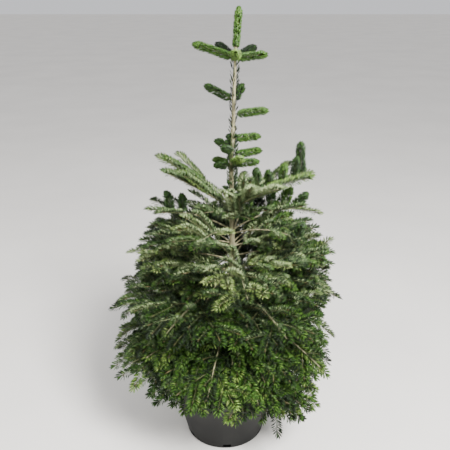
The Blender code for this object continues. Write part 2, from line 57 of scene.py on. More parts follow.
# Trunk, as in the frame: height and sideways lean of its midline, and its taper
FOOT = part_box("trunk")[0][2]
TRUNK_LEAN = ((FOOT, 0.012), (0.252, 0.012), (0.42, 0.017), (0.62, 0.022), (0.80, 0.021),
              (0.93, 0.018), (1.04, 0.0235), (1.14, 0.025), (1.262, 0.029))
TRUNK_FOOT_RADIUS = 0.0135
TRUNK_TIP_RADIUS = 0.0043
TRUNK_TAPER = 1.3
FLARE_RADIUS = 0.0060
FLARE_HEIGHT = 0.022
LEADER_TIP = (0.036, 0.0, 1.364)

# Whorls of long boughs: the frame's own sizes
WHORLS = {
    2: {"height": 0.800, "reach": 0.268, "rise": 0.62, "sag": 0.12, "bare": 0.12, "spread": 0.45,
        "lateral": 0.50, "lift": 3.0, "levels": (0,),
        "boughs": ((-56, 0.85, 0.06), (13, 0.95, -0.18), (58, 0.665, -0.20), (165, 0.88, 0.08),
                   (192, 0.79, 0.13))},
    3: {"height": 0.718, "reach": 0.296, "rise": 0.68, "sag": 0.42, "bare": 0.46, "spread": 0.90,
        "lateral": 0.50, "lift": 10.0, "levels": (1, 2),
        "boughs": ((-38, 0.855, -0.12), (18, 0.84, -0.10), (72, 0.87, -0.16), (176, 0.81, -0.06),
                   (246, 0.905, -0.08))},
    4: {"height": 0.630, "reach": 0.338, "rise": 0.42, "sag": 0.32, "bare": 0.28, "spread": 1.0,
        "lateral": 0.64, "lift": 4.0, "levels": (0, 1, 2),
        "boughs": ((-84, 0.94, -0.04), (-8, 0.84, -0.03), (66, 0.95, -0.05), (128, 0.96, -0.05),
                   (190, 0.845, 0.0))},
    5: {"height": 0.540, "reach": 0.364, "rise": 0.26, "sag": 0.32, "bare": 0.28, "spread": 1.0,
        "lateral": 0.70, "lift": -6.0, "levels": (0, 1, 2),
        "boughs": ((-62, 0.94, 0.0), (8, 0.875, -0.04), (76, 0.97, 0.0), (132, 0.985, 0.0),
                   (188, 0.945, -0.03), (236, 0.94, 0.0))},
    6: {"height": 0.450, "reach": 0.384, "rise": 0.12, "sag": 0.34, "bare": 0.28, "spread": 1.0,
        "lateral": 0.72, "lift": -14.0, "levels": (0, 1, 2),
        "boughs": ((-100, 0.945, 0.0), (-36, 0.905, -0.06), (14, 0.86, -0.02), (72, 0.96, 0.0),
                   (142, 0.96, 0.0), (186, 0.945, 0.0))},
    7: {"height": 0.362, "reach": 0.386, "rise": 0.02, "sag": 0.26, "bare": 0.28, "spread": 1.0,
        "lateral": 0.72, "lift": -7.0, "levels": (0, 1, 2),
        "boughs": ((-75, 0.86, 0.07), (-50, 0.82, -0.03), (-8, 0.80, 0.04), (52, 0.94, 0.0),
                   (112, 0.96, 0.0), (206, 0.95, 0.14), (240, 0.82, 0.08))},
}
LETTERS = "abcdefghijkl"
# Shorter boughs between the whorls, grown by the same rule
BETWEEN_WHORLS = {
    "2h": {"height": 0.775, "reach": 0.150, "rise": 0.45, "sag": 0.20, "bare": 0.10, "spread": 0.8,
           "lateral": 0.50, "lift": 6.0, "levels": (0,),
           "boughs": ((-34, 0.70, 0.85), (-150, 0.80, -0.10), (-62, 0.75, 0.0))},
    "3h": {"height": 0.676, "reach": 0.168, "rise": 0.50, "sag": 0.30, "bare": 0.28, "spread": 0.9,
           "lateral": 0.50, "lift": 6.0, "levels": (0, 1),
           "boughs": ((-12, 1.0, 0.0), (44, 1.0, 0.0), (98, 1.0, 0.0), (152, 1.0, 0.0), (206, 1.0, 0.0),
                       (188, 1.55, -0.20), (20, 1.15, 0.25))},
    "4h": {"height": 0.588, "reach": 0.223, "rise": 0.34, "sag": 0.34, "bare": 0.28, "spread": 1.0,
           "lateral": 0.56, "lift": 0.0, "levels": (0, 1),
           "boughs": ((-112, 1.0, 0.0), (-36, 1.0, 0.0), (36, 1.0, 0.0), (104, 1.0, 0.0), (160, 1.0, 0.0),
                      (-2, 1.38, 0.02), (186, 1.32, 0.0), (7, 1.42, -0.12), (-12, 1.40, 0.30))},
    "5h": {"height": 0.497, "reach": 0.248, "rise": 0.22, "sag": 0.36, "bare": 0.28, "spread": 1.0,
           "lateral": 0.60, "lift": -6.0, "levels": (0, 1),
           "boughs": ((-88, 1.0, 0.0), (-22, 1.0, 0.0), (46, 1.0, 0.0), (116, 1.0, 0.0), (206, 1.0, 0.0),
                      (-54, 1.15, 0.06), (182, 1.30, 0.05), (2, 1.30, 0.08))},
    "6h": {"height": 0.406, "reach": 0.268, "rise": 0.08, "sag": 0.34, "bare": 0.28, "spread": 1.0,
           "lateral": 0.60, "lift": -12.0, "levels": (0, 1),
           "boughs": ((-122, 1.0, 0.0), (-14, 1.0, 0.0), (58, 1.0, 0.0), (112, 1.0, 0.0), (162, 1.0, 0.0),
                      (-70, 1.15, 0.12), (218, 1.2, 0.22), (-88, 1.0, 0.26),
                      (196, 1.22, 0.12), (184, 1.20, -0.02), (-101, 1.02, 0.04), (176, 1.20, -0.10))},
    "7h": {"height": 0.300, "reach": 0.325, "rise": 0.02, "sag": 0.17, "bare": 0.50, "spread": 0.8,
           "lateral": 0.45, "lift": -6.0, "levels": (1, 2), "boughs": ((-46, 1.0, 0.0), (-76, 0.94, 0.01),
                      (-38, 0.97, -0.16), (-132, 0.86, -0.12), (176, 0.96, 0.16), (200, 0.96, 0.22),
                      (188, 1.0, 0.20), (166, 0.97, 0.26), (-50, 0.92, -0.20))},
}
BETWEEN_RADIUS = 0.0024
BOUGH_RADIUS = 0.0028
BOUGH_TIP_RADIUS = 0.0012
HEIGHT_STAGGER = 0.006
SIDE_BEND = 0.03
LATERALS = ((0.34, 62.0), (0.55, 54.0), (0.75, 46.0))
LATERAL_LEAST = 0.066
# The frame's sprays end where the needles do, so a shoot ends this far short of them
NEEDLE_REACH = 0.018
LATERAL_NEEDLE_REACH = 0.015
LATERAL_ROLL = 16.0
SIDE_NODE_STEP = 0.056
SIDE_NODE_LAST = 0.030
SIDE_SHOOT_ANGLE = 46.0
SIDE_SHOOT_SHARE = 0.48
SIDE_SHOOT_EXTRA = 0.044
SIDE_SHOOT_LEAST = 0.048
SIDE_SHOOT_SHORTEST = 0.028
SIDE_SHOOT_PAST = 0.020
SIDE_SHOOT_ROLL = 16.0
SIDE_SHOOT_WHORLS = (4, 5, 6, 7)
# Shoots that stand up from a bough between its laterals: share of its leafy stretch, turn to the
# side, rise above the bough, length
RAISED = ((0.03, 30.0, 46.0, 0.080), (0.26, -34.0, 42.0, 0.090), (0.52, 30.0, 36.0, 0.080),
          (0.78, -26.0, 26.0, 0.050))
UPRIGHT = ((0.10, 24.0, 80.0, 0.046), (0.46, -28.0, 76.0, 0.052), (0.82, 20.0, 66.0, 0.044))
UPRIGHT_PAIR = ((0.36, 20.0, 84.0, 0.046), (0.68, -24.0, 80.0, 0.050))
UPRIGHT_ROW = ((0.28, 20.0, 84.0, 0.060), (0.44, -20.0, 80.0, 0.040), (0.62, 20.0, 80.0, 0.040),
               (0.80, -16.0, 80.0, 0.052), (0.93, 10.0, 84.0, 0.088))
UPRIGHT_TIP = ((0.92, 10.0, 80.0, 0.046),)
STANDING = {"2a": (), "2b": UPRIGHT_ROW, "3a": UPRIGHT_TIP, "3b": UPRIGHT, "3d": UPRIGHT_PAIR,
            "2c": (), "2d": (), "2e": (), "3c": (), "4c": (), "4d": (), "3hc": (), "3hd": ()}

LIMB_WHORLS = (2, 3)
LEADER_FOOT = 1.250
LEADER_NEEDLE_REACH = 0.014
TOP_WHORL_HEIGHT = 1.2315
TOP_SHOOTS = ((-90, 16.0, 0.080), (-16, 9.0, 0.075), (54, 14.0, 0.086),
              (124, 20.0, 0.084), (200, 20.0, 0.112))
STEM_SHOOTS = ((1.118, 184, 29.0, 0.077), (1.116, 62, 38.0, 0.052),
               (1.078, -8, 9.0, 0.083), (1.008, 6, 5.0, 0.064))
CROWD_SHOOTS = ((0.984, 172, 22.0, 0.038), (0.974, 245, 20.0, 0.050), (0.934, 165, 12.0, 0.040),
                (0.928, 198, 8.0, 0.036), (0.958, 14, 8.0, 0.074), (0.933, -14, 10.0, 0.066),
                (0.938, -62, 25.0, 0.054), (0.978, 95, 20.0, 0.062))

# Needles that lie along the stem: from and to which height, their habit and tint
STEM_NEEDLES = ((1.01, 1.236, "sparse", 0), (0.79, 1.01, "sleeve", 1))

# Tints of the single shoots: 0 to 4 are the greens, 5 to 8 the silvers
TOP_SHOOT_TINTS = (3, 2, 0, 0, 2)
STEM_SHOOT_TINTS = (1, 1, 2, 2)
CROWD_SHOOT_TINTS = (1, 1, 2, 1, 2, 2, 3, 1)

# Needle habits: needles per metre of shoot, length, how far they open from it, width, how far
# below level the lowest stand, and which share of them stands flat to the sides and half up
HABITS = {
    "comb": (1450, 0.0245, 64.0, 0.0028, -16.0, (0.66, 0.90)),
    "flat": (1600, 0.0240, 61.0, 0.0028, -14.0, (0.46, 0.76)),
    "raised": (1850, 0.0235, 58.0, 0.0028, -10.0, (0.30, 0.60)),
    "lush": (4000, 0.0270, 60.0, 0.0026, -12.0, (0.30, 0.58)),
    "brush": (6500, 0.0190, 55.0, 0.0026, -90.0, (0.56, 0.78)),
    "tuft": (6500, 0.0200, 54.0, 0.0027, 0.0, (0.0, 0.0)),
    "spire": (8000, 0.0170, 40.0, 0.0026, 0.0, (0.0, 0.0)),
    "sparse": (760, 0.0185, 33.0, 0.0036, 0.0, (0.0, 0.0)),
    "sleeve": (3000, 0.0190, 38.0, 0.0030, 0.0, (0.0, 0.0)),
}
STEM_HABITS = ("sparse", "sleeve")
ROUND_HABITS = ("tuft", "spire", "sparse", "sleeve")
# Habits whose needles show one colour on both sides
DARK_BELOW_HABITS = ("tuft", "brush", "spire", "sparse", "sleeve")
WIDEST_SHARE = 0.66
TIP_CLOSING = 0.010
TIP_OPENING = 0.20
TIP_CROWDING = 2.5
TIP_BROADER = 0.25
# Share of the needles whose underside is palest, on silvery and on green shoots
PALE_BELOW = 0.6
PALE_BELOW_GREEN = 0.15
# Needles stand in loose bunches: length of a bunch along the shoot, how much closer its needles
# stand, and how far it may rise, open and turn paler or darker than its neighbours: the paler and
# darker bunches are painted highlights and painted shade between them
BUNCH_STEP = 0.0042
BUNCH_CLOSER = 0.32
BUNCH_RISE = 4.0
BUNCH_OPENING = 2.5
BUNCH_PAINTED_LIGHT = 0.6
ROUND_MOOD = 0.6
# Boughs that point further than this share to the left or right carry fuller shoots
FULLER_SIDES = 0.86
# Last year's growth at a shoot's end is full, and the older wood behind it thinner and darker: partly
# the old needles' own darker green, partly painted shade of the crown's inside
YOUNG_LENGTH = 0.085
OLD_SHARE = 0.55
OLD_AND_SHADED_DARKER = 2
OLD_HABITS = ("comb", "flat", "raised")

# Colours, as they look on a screen, 0 to 255: each family runs from dark to light
GREENS = ((16, 32, 8), (32, 58, 14), (56, 90, 24), (88, 120, 46), (134, 156, 78))
SILVERS = ((40, 60, 26), (68, 90, 40), (104, 126, 60), (162, 176, 108))
TOP_TINTS = GREENS + SILVERS
UNDER_TINTS = ((72, 92, 52), (140, 154, 106))
SILVER_START = len(GREENS)
TWIG_TAN = (104, 106, 66)
BARK_PALE = (152, 147, 113)
BARK_DARK = (84, 79, 56)
BUD_BROWN = (104, 92, 54)
NEEDLE_SHINE = 0.4
POT_SHINE = 0.18
POT_GREY = (9, 10, 10)
POT_WORN = (14, 15, 15)
SOIL_DARK = (44, 33, 25)
SOIL_PALE = (92, 70, 50)
FLOOR_PALE = (242, 238, 231)


def linear(colour):
    """A screen colour as the shader's linear values."""
    shares = [part / 255.0 for part in colour]
    return tuple(s / 12.92 if s <= 0.04045 else ((s + 0.055) / 1.055) ** 2.4 for s in shares) + (1.0,)


def mottle_group():
    """Two colours blended by soft noise, with the same noise as a height for relief."""
    group = bpy.data.node_groups.new("Mottle", "ShaderNodeTree")
    face = group.interface
    for label, kind, value in (("First", "NodeSocketColor", (1.0, 1.0, 1.0, 1.0)),
                               ("Second", "NodeSocketColor", (0.0, 0.0, 0.0, 1.0)),
                               ("Scale", "NodeSocketFloat", 60.0), ("Detail", "NodeSocketFloat", 4.0),
                               ("Stretch", "NodeSocketVector", (1.0, 1.0, 1.0))):
        socket = face.new_socket(name=label, in_out="INPUT", socket_type=kind)
        socket.default_value = value
    face.new_socket(name="Color", in_out="OUTPUT", socket_type="NodeSocketColor")
    face.new_socket(name="Height", in_out="OUTPUT", socket_type="NodeSocketFloat")
    nodes, links = group.nodes, group.links
    given = nodes.new("NodeGroupInput")
    place = nodes.new("ShaderNodeTexCoord")
    stretch = nodes.new("ShaderNodeMapping")
    pattern = nodes.new("ShaderNodeTexNoise")
    ramp = nodes.new("ShaderNodeMapRange")
    blend = nodes.new("ShaderNodeMix")
    result = nodes.new("NodeGroupOutput")
    ramp.inputs["From Min"].default_value = 0.32
    ramp.inputs["From Max"].default_value = 0.68
    blend.data_type = "RGBA"
    links.new(place.outputs["Object"], stretch.inputs["Vector"])
    links.new(given.outputs["Stretch"], stretch.inputs["Scale"])
    links.new(stretch.outputs["Vector"], pattern.inputs["Vector"])
    links.new(given.outputs["Scale"], pattern.inputs["Scale"])
    links.new(given.outputs["Detail"], pattern.inputs["Detail"])
    links.new(pattern.outputs["Fac"], ramp.inputs["Value"])
    links.new(ramp.outputs["Result"], blend.inputs["Factor"])
    links.new(given.outputs["First"], blend.inputs["A"])
    links.new(given.outputs["Second"], blend.inputs["B"])
    links.new(blend.outputs["Result"], result.inputs["Color"])
    links.new(pattern.outputs["Fac"], result.inputs["Height"])
    return group


MOTTLE = mottle_group()


def finish(name, first, second, roughness, scale, detail=4.0, bump=0.0, depth=0.001,
           stretch=(1.0, 1.0, 1.0), shine=0.5):
    material = bpy.data.materials.new(name)
    material.use_nodes = True
    nodes, links = material.node_tree.nodes, material.node_tree.links
    shader = nodes["Principled BSDF"]
    shader.inputs["Roughness"].default_value = roughness
    shader.inputs["Specular IOR Level"].default_value = shine
    mottle = nodes.new("ShaderNodeGroup")
    mottle.node_tree = MOTTLE
    mottle.inputs["First"].default_value = linear(first)
    mottle.inputs["Second"].default_value = linear(second)
    mottle.inputs["Scale"].default_value = scale
    mottle.inputs["Detail"].default_value = detail
    mottle.inputs["Stretch"].default_value = stretch
    links.new(mottle.outputs["Color"], shader.inputs["Base Color"])
    if bump:
        relief = nodes.new("ShaderNodeBump")
        relief.inputs["Strength"].default_value = bump
        relief.inputs["Distance"].default_value = depth
        links.new(mottle.outputs["Height"], relief.inputs["Height"])
        links.new(relief.outputs["Normal"], shader.inputs["Normal"])
    return material


def shaded(colour, share):
    return tuple(part * share for part in colour)


def needle_finishes():
    tops = [finish(f"needle_top_{number + 1}", shaded(tint, 0.86), shaded(tint, 1.12), 0.42, 260.0,
                   shine=NEEDLE_SHINE)
            for number, tint in enumerate(TOP_TINTS)]
    unders = [finish(f"needle_under_{number + 1}", shaded(tint, 0.9), shaded(tint, 1.1), 0.55, 260.0,
                     shine=NEEDLE_SHINE)
              for number, tint in enumerate(UNDER_TINTS)]
    return tops + unders


def trunk_point(height):
    for (low, low_x), (high, high_x) in zip(TRUNK_LEAN, TRUNK_LEAN[1:]):
        if height <= high:
            break
    share = (height - low) / (high - low)
    return Vector((low_x + (high_x - low_x) * share, 0.0, height))


def trunk_radius(height):
    top = TRUNK_LEAN[-1][0]
    left = max(0.0, (top - height) / (top - FOOT))
    taper = TRUNK_TIP_RADIUS + (TRUNK_FOOT_RADIUS - TRUNK_TIP_RADIUS) * left ** TRUNK_TAPER
    return taper + FLARE_RADIUS * math.exp((FOOT - height) / FLARE_HEIGHT)


def heading(azimuth, rise=0.0):
    flat = math.cos(math.radians(rise))
    return Vector((flat * math.cos(math.radians(azimuth)), flat * math.sin(math.radians(azimuth)),
                   math.sin(math.radians(rise))))


class Shoot:
    """A shoot whose midline is start + run*t + bend*t*t, with t from 0 to 1."""

    def __init__(self, start, run, bend, up, bare, habit, tint, thick):
        self.start, self.run, self.bend = start, run, bend
        self.up, self.bare, self.habit, self.tint, self.thick = up, bare, habit, tint, thick

    def point(self, t):
        return self.start + self.run * t + self.bend * (t * t)

    def forward(self, t):
        return (self.run + self.bend * (2.0 * t)).normalized()

    def length(self):
        return (self.run + self.bend).length


def whorl_look(whorl, draw):
    """A habit and a tint for one shoot: more silvery and more upright up the crown, and paler up the crown,
    partly from the needles' silvery colour and partly as painted light falling from above.
    """
    silver = SILVER_START
    if whorl == 2:
        return "lush", draw.choice((silver + 1, silver + 2, silver + 1, 2, 3))
    if whorl in (3, 4):
        habit = draw.choice(("raised", "raised", "flat"))
        return habit, draw.choice((silver + 1, silver + 2, silver, 0, 1, 1, whorl % 2, 2))
    if whorl == 5:
        habit = draw.choice(("comb", "flat", "raised"))
        return habit, draw.choice((0, 1, 1, 2, 1, 0, silver + 1, 1))
    return draw.choice(("comb", "flat", "raised")), draw.choice((0, 1, 2, 1, 2, 3, 2, 0, 2, 2, 2, 3))


def side_shoots(parent, whorl, key, edge):
    """Shoots in pairs at the nodes of a lateral, that get shorter towards its tip and end within
    a level distance, edge, from the trunk."""
    found = []
    length = parent.length()
    count = int(length / SIDE_NODE_STEP)
    for number in range(1, count + 1):
        t = number * SIDE_NODE_STEP / length
        for side in (-1, 1):
            draw = random.Random(f"{key}-{number}-{side}")
            long = (SIDE_SHOOT_SHARE * (1.0 - t) * length + SIDE_SHOOT_EXTRA) * draw.uniform(0.85, 1.15)
            if long < SIDE_SHOOT_LEAST or (1.0 - t) * length < SIDE_NODE_LAST:
                continue
            spot = min(t + draw.uniform(-0.03, 0.03), 0.94)
            ahead = parent.forward(spot)
            angle = math.radians(side * SIDE_SHOOT_ANGLE * draw.uniform(0.85, 1.15))
            out = Matrix.Rotation(angle, 3, parent.up) @ ahead
            out = (out + parent.up * draw.uniform(-0.05, 0.25)).normalized()
            place = parent.point(spot)
            outward = Vector((place.x, place.y, 0.0))
            long = min(long, (edge - outward.length) / max(out.dot(outward.normalized()), 0.2))
            if long < SIDE_SHOOT_SHORTEST:
                continue
            bow = (ahead * 0.12 - Vector((0.0, 0.0, 0.05))) * long
            habit, tint = whorl_look(whorl, draw)
            roll = Matrix.Rotation(math.radians(draw.uniform(-SIDE_SHOOT_ROLL, SIDE_SHOOT_ROLL)), 3, out)
            found.append(Shoot(place, out * long - bow, bow, roll @ parent.up, 0.05, habit,
                               tint, 0.0006))
    return found


def raised_shoots(main, whorl, label):
    """Short shoots that stand up from the bough itself and fill the space above it."""
    upright = label in STANDING
    found = []
    for number, (share, turn, rise, long) in enumerate(STANDING.get(label, RAISED)):
        draw = random.Random(f"{label}-raised-{number}")
        share = main.bare + (1.0 - main.bare) * share
        ahead = main.forward(share)
        flank = Vector((0.0, 0.0, 1.0)).cross(ahead).normalized()
        up = ahead.cross(flank)
        turn = math.radians(turn * draw.choice((-1, 1)) + draw.uniform(-10.0, 10.0))
        rise = math.radians(rise + draw.uniform(-8.0, 8.0))
        out = Matrix.Rotation(turn, 3, up) @ (ahead * math.cos(rise) + up * math.sin(rise))
        long *= draw.uniform(0.85, 1.15)
        bow = (ahead * 0.15 - Vector((0.0, 0.0, 0.10))) * long
        habit, tint = whorl_look(whorl, draw)
        if upright:
            habit, tint, up = "tuft", draw.choice((1, 1, 1, 2)), -ahead
        found.append(Shoot(main.point(share), out * long - bow, bow, up, 0.04, habit, tint, 0.0009))
    return found


def grow_bough(shape, whorl, name, index, thick):
    """The bough's own shoot, its laterals by the frame's rule, and finer shoots on them."""
    label = f"{name}{LETTERS[index]}"
    azimuth, reach_share, extra_rise = shape["boughs"][index]
    reach = shape["reach"] * reach_share
    sway = SIDE_BEND * random.Random(label).uniform(-1.0, 1.0)
    root = trunk_point(shape["height"] + HEIGHT_STAGGER * (1 if index % 2 else -1))
    end = 1.0 - NEEDLE_REACH / reach
    run = (heading(azimuth) + Vector((0.0, 0.0, shape["rise"] + extra_rise))) * (reach * end)
    bend = (heading(azimuth + 90.0) * sway - Vector((0.0, 0.0, shape["sag"]))) * (reach * end * end)
    flank = Vector((0.0, 0.0, 1.0)).cross(run.normalized()).normalized()
    habit, tint = whorl_look(whorl, random.Random(label))
    main = Shoot(root, run, bend, run.normalized().cross(flank), shape["bare"] / end, habit, tint, thick)
    shoots = [main]
    for level in shape["levels"]:
        share, angle = LATERALS[level]
        for hand in (-1, 1):
            draw = random.Random(f"{label}-{level}-{hand}")
            spot = share + draw.uniform(-0.02, 0.02)
            long = (shape["lateral"] * (1.0 - spot) * reach + LATERAL_LEAST) * draw.uniform(0.88, 1.12)
            long -= LATERAL_NEEDLE_REACH
            turn = math.radians(hand * (angle * shape["spread"] + draw.uniform(-6.0, 6.0)))
            spot /= end
            ahead = main.forward(spot)
            flank = Vector((0.0, 0.0, 1.0)).cross(ahead).normalized()
            up = ahead.cross(flank)
            out = Matrix.Rotation(turn, 3, up) @ ahead
            rise = math.radians(-shape["lift"] - draw.uniform(-7.0, 7.0))
            out = Matrix.Rotation(rise, 3, up.cross(out)) @ out
            roll = math.radians(hand * draw.uniform(-0.5, 1.0) * LATERAL_ROLL)
            up = Matrix.Rotation(roll, 3, out) @ up
            bow = (ahead * 0.10 - Vector((0.0, 0.0, 0.03))) * long
            habit, tint = whorl_look(whorl, draw)
            lateral = Shoot(main.point(spot), out * long - bow, bow, up, 0.10, habit, tint, 0.0009)
            shoots.append(lateral)
            if whorl in SIDE_SHOOT_WHORLS:
                shoots += side_shoots(lateral, whorl, f"{label}-{level}-{hand}-side",
                                      reach - NEEDLE_REACH + SIDE_SHOOT_PAST)
    if abs(heading(azimuth).x) > FULLER_SIDES:
        for shoot in shoots:
            shoot.habit = "raised" if shoot.habit in ("comb", "flat") else shoot.habit
    return shoots + raised_shoots(main, whorl, label)


def short_shoot(height, azimuth, rise, length, tint):
    ahead = heading(azimuth, rise)
    root = trunk_point(height) + heading(azimuth) * (0.7 * trunk_radius(height))
    bend = Vector((0.0, 0.0, -0.05 * length))
    side = Vector((0.0, 0.0, 1.0)).cross(ahead).normalized()
    long = length + 0.3 * trunk_radius(height) - 0.004
    return Shoot(root, ahead * long - bend, bend, ahead.cross(side), 0.05, "brush", tint, 0.0017)


def stem_needles(low, high, habit, tint):
    """Needles that lie up along a stretch of the bare stem, as one upright shoot."""
    foot = trunk_point(low)
    return Shoot(foot, trunk_point(high) - foot, Vector(), Vector((0.0, -1.0, 0.0)), 0.0, habit, tint,
                 trunk_radius(0.5 * (low + high)))


def along(shoot, t):
    """Places and unit frames of a shoot at an array of shares."""
    start, run, bend = (np.array(v) for v in (shoot.start, shoot.run, shoot.bend))
    places = start + np.outer(t, run) + np.outer(t * t, bend)
    ahead = run + np.outer(2.0 * t, bend)
    ahead /= np.linalg.norm(ahead, axis=1)[:, None]
    side = np.cross(np.array(shoot.up), ahead)
    side /= np.linalg.norm(side, axis=1)[:, None]
    return places, ahead, side, np.cross(ahead, side)


def needle_layout(shoot, rng):
    """Root, direction, upper face, length, width and tint of every needle on a shoot."""
    density, size, opening, broad, lowest, (flat_share, half_share) = HABITS[shoot.habit]
    length = shoot.length()
    leafy = length * (1.0 - shoot.bare)
    old = max(0.0, leafy - YOUNG_LENGTH) if shoot.habit in OLD_HABITS else 0.0
    weight = leafy - old + OLD_SHARE * old
    on_stem = shoot.habit in STEM_HABITS
    crowd = 0 if on_stem else int(density * TIP_CLOSING * (TIP_CROWDING - 1.0))
    count = max(8, int(density * weight))
    spread = (np.arange(count) + rng.uniform(0.0, 1.0, count)) / count
    spread = np.concatenate((spread, 1.0 - rng.random(crowd) * TIP_CLOSING / weight))
    count += crowd
    reached = np.interp(spread * weight, (0.0, OLD_SHARE * old, weight), (0.0, old, leafy))
    hand = np.where(rng.random(count) < 0.5, -1.0, 1.0)
    is_round = shoot.habit in ROUND_HABITS
    along_bunch = reached / BUNCH_STEP + 0.25 * hand
    bunch = np.floor(along_bunch)
    bunch = (2 * bunch + 2 + (hand > 0.0)).astype(int)
    mood = rng.uniform(-1.0, 1.0, (bunch.max() + 1, 3))[bunch]
    is_even = is_round or shoot.habit == "brush"
    if is_even:
        mood = rng.uniform(-1.0, 1.0, (count, 3)) * ROUND_MOOD
    else:
        middle = np.floor(along_bunch) + 0.5
        reached = (middle + BUNCH_CLOSER * (along_bunch - middle) - 0.25 * hand) * BUNCH_STEP
        reached = np.clip(reached, 0.0, leafy)
    t = shoot.bare + (1.0 - shoot.bare) * reached / leafy
    places, ahead, side, up = along(shoot, t)
    open_share = np.clip((1.0 - t) * length / TIP_CLOSING, 0.0, 1.0)
    if is_round:
        above = rng.uniform(-90.0, 90.0, count)
        open_angle = np.full(count, opening)
        size = np.full(count, size)
    else:
        pick = rng.random(count)
        above = np.where(pick < flat_share, rng.uniform(lowest, 16.0, count),
                         np.where(pick < half_share, rng.uniform(16.0, 52.0, count),
                                  rng.uniform(52.0, 90.0, count)))
        open_angle = opening - 0.10 * np.abs(above)
        size = size * (1.0 - 0.0022 * np.maximum(above, 0.0))
    above = above + BUNCH_RISE * mood[:, 0]
    open_angle = open_angle + rng.uniform(-2.0, 2.0, count) + BUNCH_OPENING * mood[:, 1]
    open_angle = np.radians(open_angle * (TIP_OPENING + (1.0 - TIP_OPENING) * open_share))
    size = size * rng.uniform(0.90, 1.05, count)
    above = np.radians(above)
    out = (np.cos(above) * hand)[:, None] * side + np.sin(above)[:, None] * up
    direction = np.cos(open_angle)[:, None] * ahead + np.sin(open_angle)[:, None] * out
    facing = up + 0.5 * ahead + rng.normal(0.0, 0.18, (count, 3))
    if is_even:
        facing = out + 0.3 * ahead + rng.normal(0.0, 0.9, (count, 3))
    facing -= (facing * direction).sum(1)[:, None] * direction
    facing /= np.linalg.norm(facing, axis=1)[:, None]
    radius = shoot.thick if on_stem else 0.6 * min(shoot.thick, 0.002)
    chance = rng.random(count)
    tint = shoot.tint + np.where(chance < 0.08 + 0.16 * t, 1, 0) - np.where(chance > 0.86, 1, 0)
    # Older needles darker: partly their own colour, partly painted shade deeper in the crown
    tint -= np.where(reached < old, OLD_AND_SHADED_DARKER, 0)
    # Bunches turned paler or darker: painted highlights on glossy needles and painted shade in the gaps
    tint += np.rint(BUNCH_PAINTED_LIGHT * mood[:, 2]).astype(int)
    low, high = (0, SILVER_START - 1) if shoot.tint < SILVER_START else (SILVER_START, len(TOP_TINTS) - 1)
    width = broad * rng.uniform(0.85, 1.1, count) * (1.0 + TIP_BROADER * (1.0 - open_share))
    return places + out * radius, direction, facing, size, width, np.clip(tint, low, high)


# A needle is a slim blade with a keel below: its corners are the foot, the left and the right
# where it is widest, and the tip
NEEDLE_FACES = ((0, 2, 1), (2, 3, 1), (0, 1, 3), (0, 3, 2))
UPPER_FACES = (0, 1)
KEEL_SHARE = 0.45


def needle_corners(places, direction, facing, size, width):
    across = np.cross(facing, direction)
    half = (0.5 * width)[:, None]
    widest = places + direction * (WIDEST_SHARE * size)[:, None] + facing * half * KEEL_SHARE
    corners = np.empty((len(places), 4, 3))
    corners[:, 0] = places
    corners[:, 1] = widest + across * half
    corners[:, 2] = widest - across * half
    corners[:, 3] = places + direction * size[:, None]
    return corners


def mesh_from_arrays(name, corners, faces, slots, materials):
    """One joined mesh from an array of shapes that all have the same faces."""
    shapes, per_shape = corners.shape[0], corners.shape[1]
    sizes = np.array([len(face) for face in faces])
    loop = np.concatenate([np.array(face) for face in faces])
    loops = (np.arange(shapes)[:, None] * per_shape + loop[None, :]).ravel()
    totals = np.tile(sizes, shapes)
    starts = np.concatenate(([0], np.cumsum(totals)[:-1]))
    mesh = bpy.data.meshes.new(name)
    mesh.vertices.add(shapes * per_shape)
    mesh.vertices.foreach_set("co", corners.ravel())
    mesh.loops.add(len(loops))
    mesh.loops.foreach_set("vertex_index", loops.astype(np.int32))
    mesh.polygons.add(len(totals))
    mesh.polygons.foreach_set("loop_start", starts.astype(np.int32))
    mesh.polygons.foreach_set("material_index", slots.ravel().astype(np.int32))
    mesh.update(calc_edges=True)
    for material in materials:
        mesh.materials.append(material)
    item = bpy.data.objects.new(name, mesh)
    bpy.context.scene.collection.objects.link(item)
    return item


def make_needles(name, shoots, materials):
    rng = np.random.default_rng(len(name) * 131 + ord(name[-1]))
    corners, slots = [], []
    for shoot in shoots:
        *layout, tint = needle_layout(shoot, rng)
        corners.append(needle_corners(*layout))
        pale = PALE_BELOW if shoot.tint >= SILVER_START else PALE_BELOW_GREEN
        under = len(TOP_TINTS) + (rng.random(len(tint)) < pale)
        if shoot.habit in DARK_BELOW_HABITS:
            under = tint
        slot = np.repeat(under[:, None], len(NEEDLE_FACES), axis=1)
        slot[:, list(UPPER_FACES)] = tint[:, None]
        slots.append(slot)
    return mesh_from_arrays(name, np.concatenate(corners), NEEDLE_FACES, np.concatenate(slots),
                            materials)


TWIG_SIDES = 5
# Bark relief: rings along the trunk and a bough, the swelling where limbs leave, and a bud's rings
GRAIN_STRETCH = 0.35
TRUNK_RINGS = 180
TRUNK_KNOT = 0.14
KNOT_HALF_LENGTH = 0.010
BOUGH_RINGS = 32
BOUGH_SIDES = 10
BOUGH_RELIEF = 0.13
BOUGH_GRAIN = 420.0
BOUGH_ROOT_SWELL = 0.35
BOUGH_KNOT = 0.22
BUD_RINGS = ((0.0015, 0.0022), (0.0040, 0.0021), (0.0065, 0.0004))


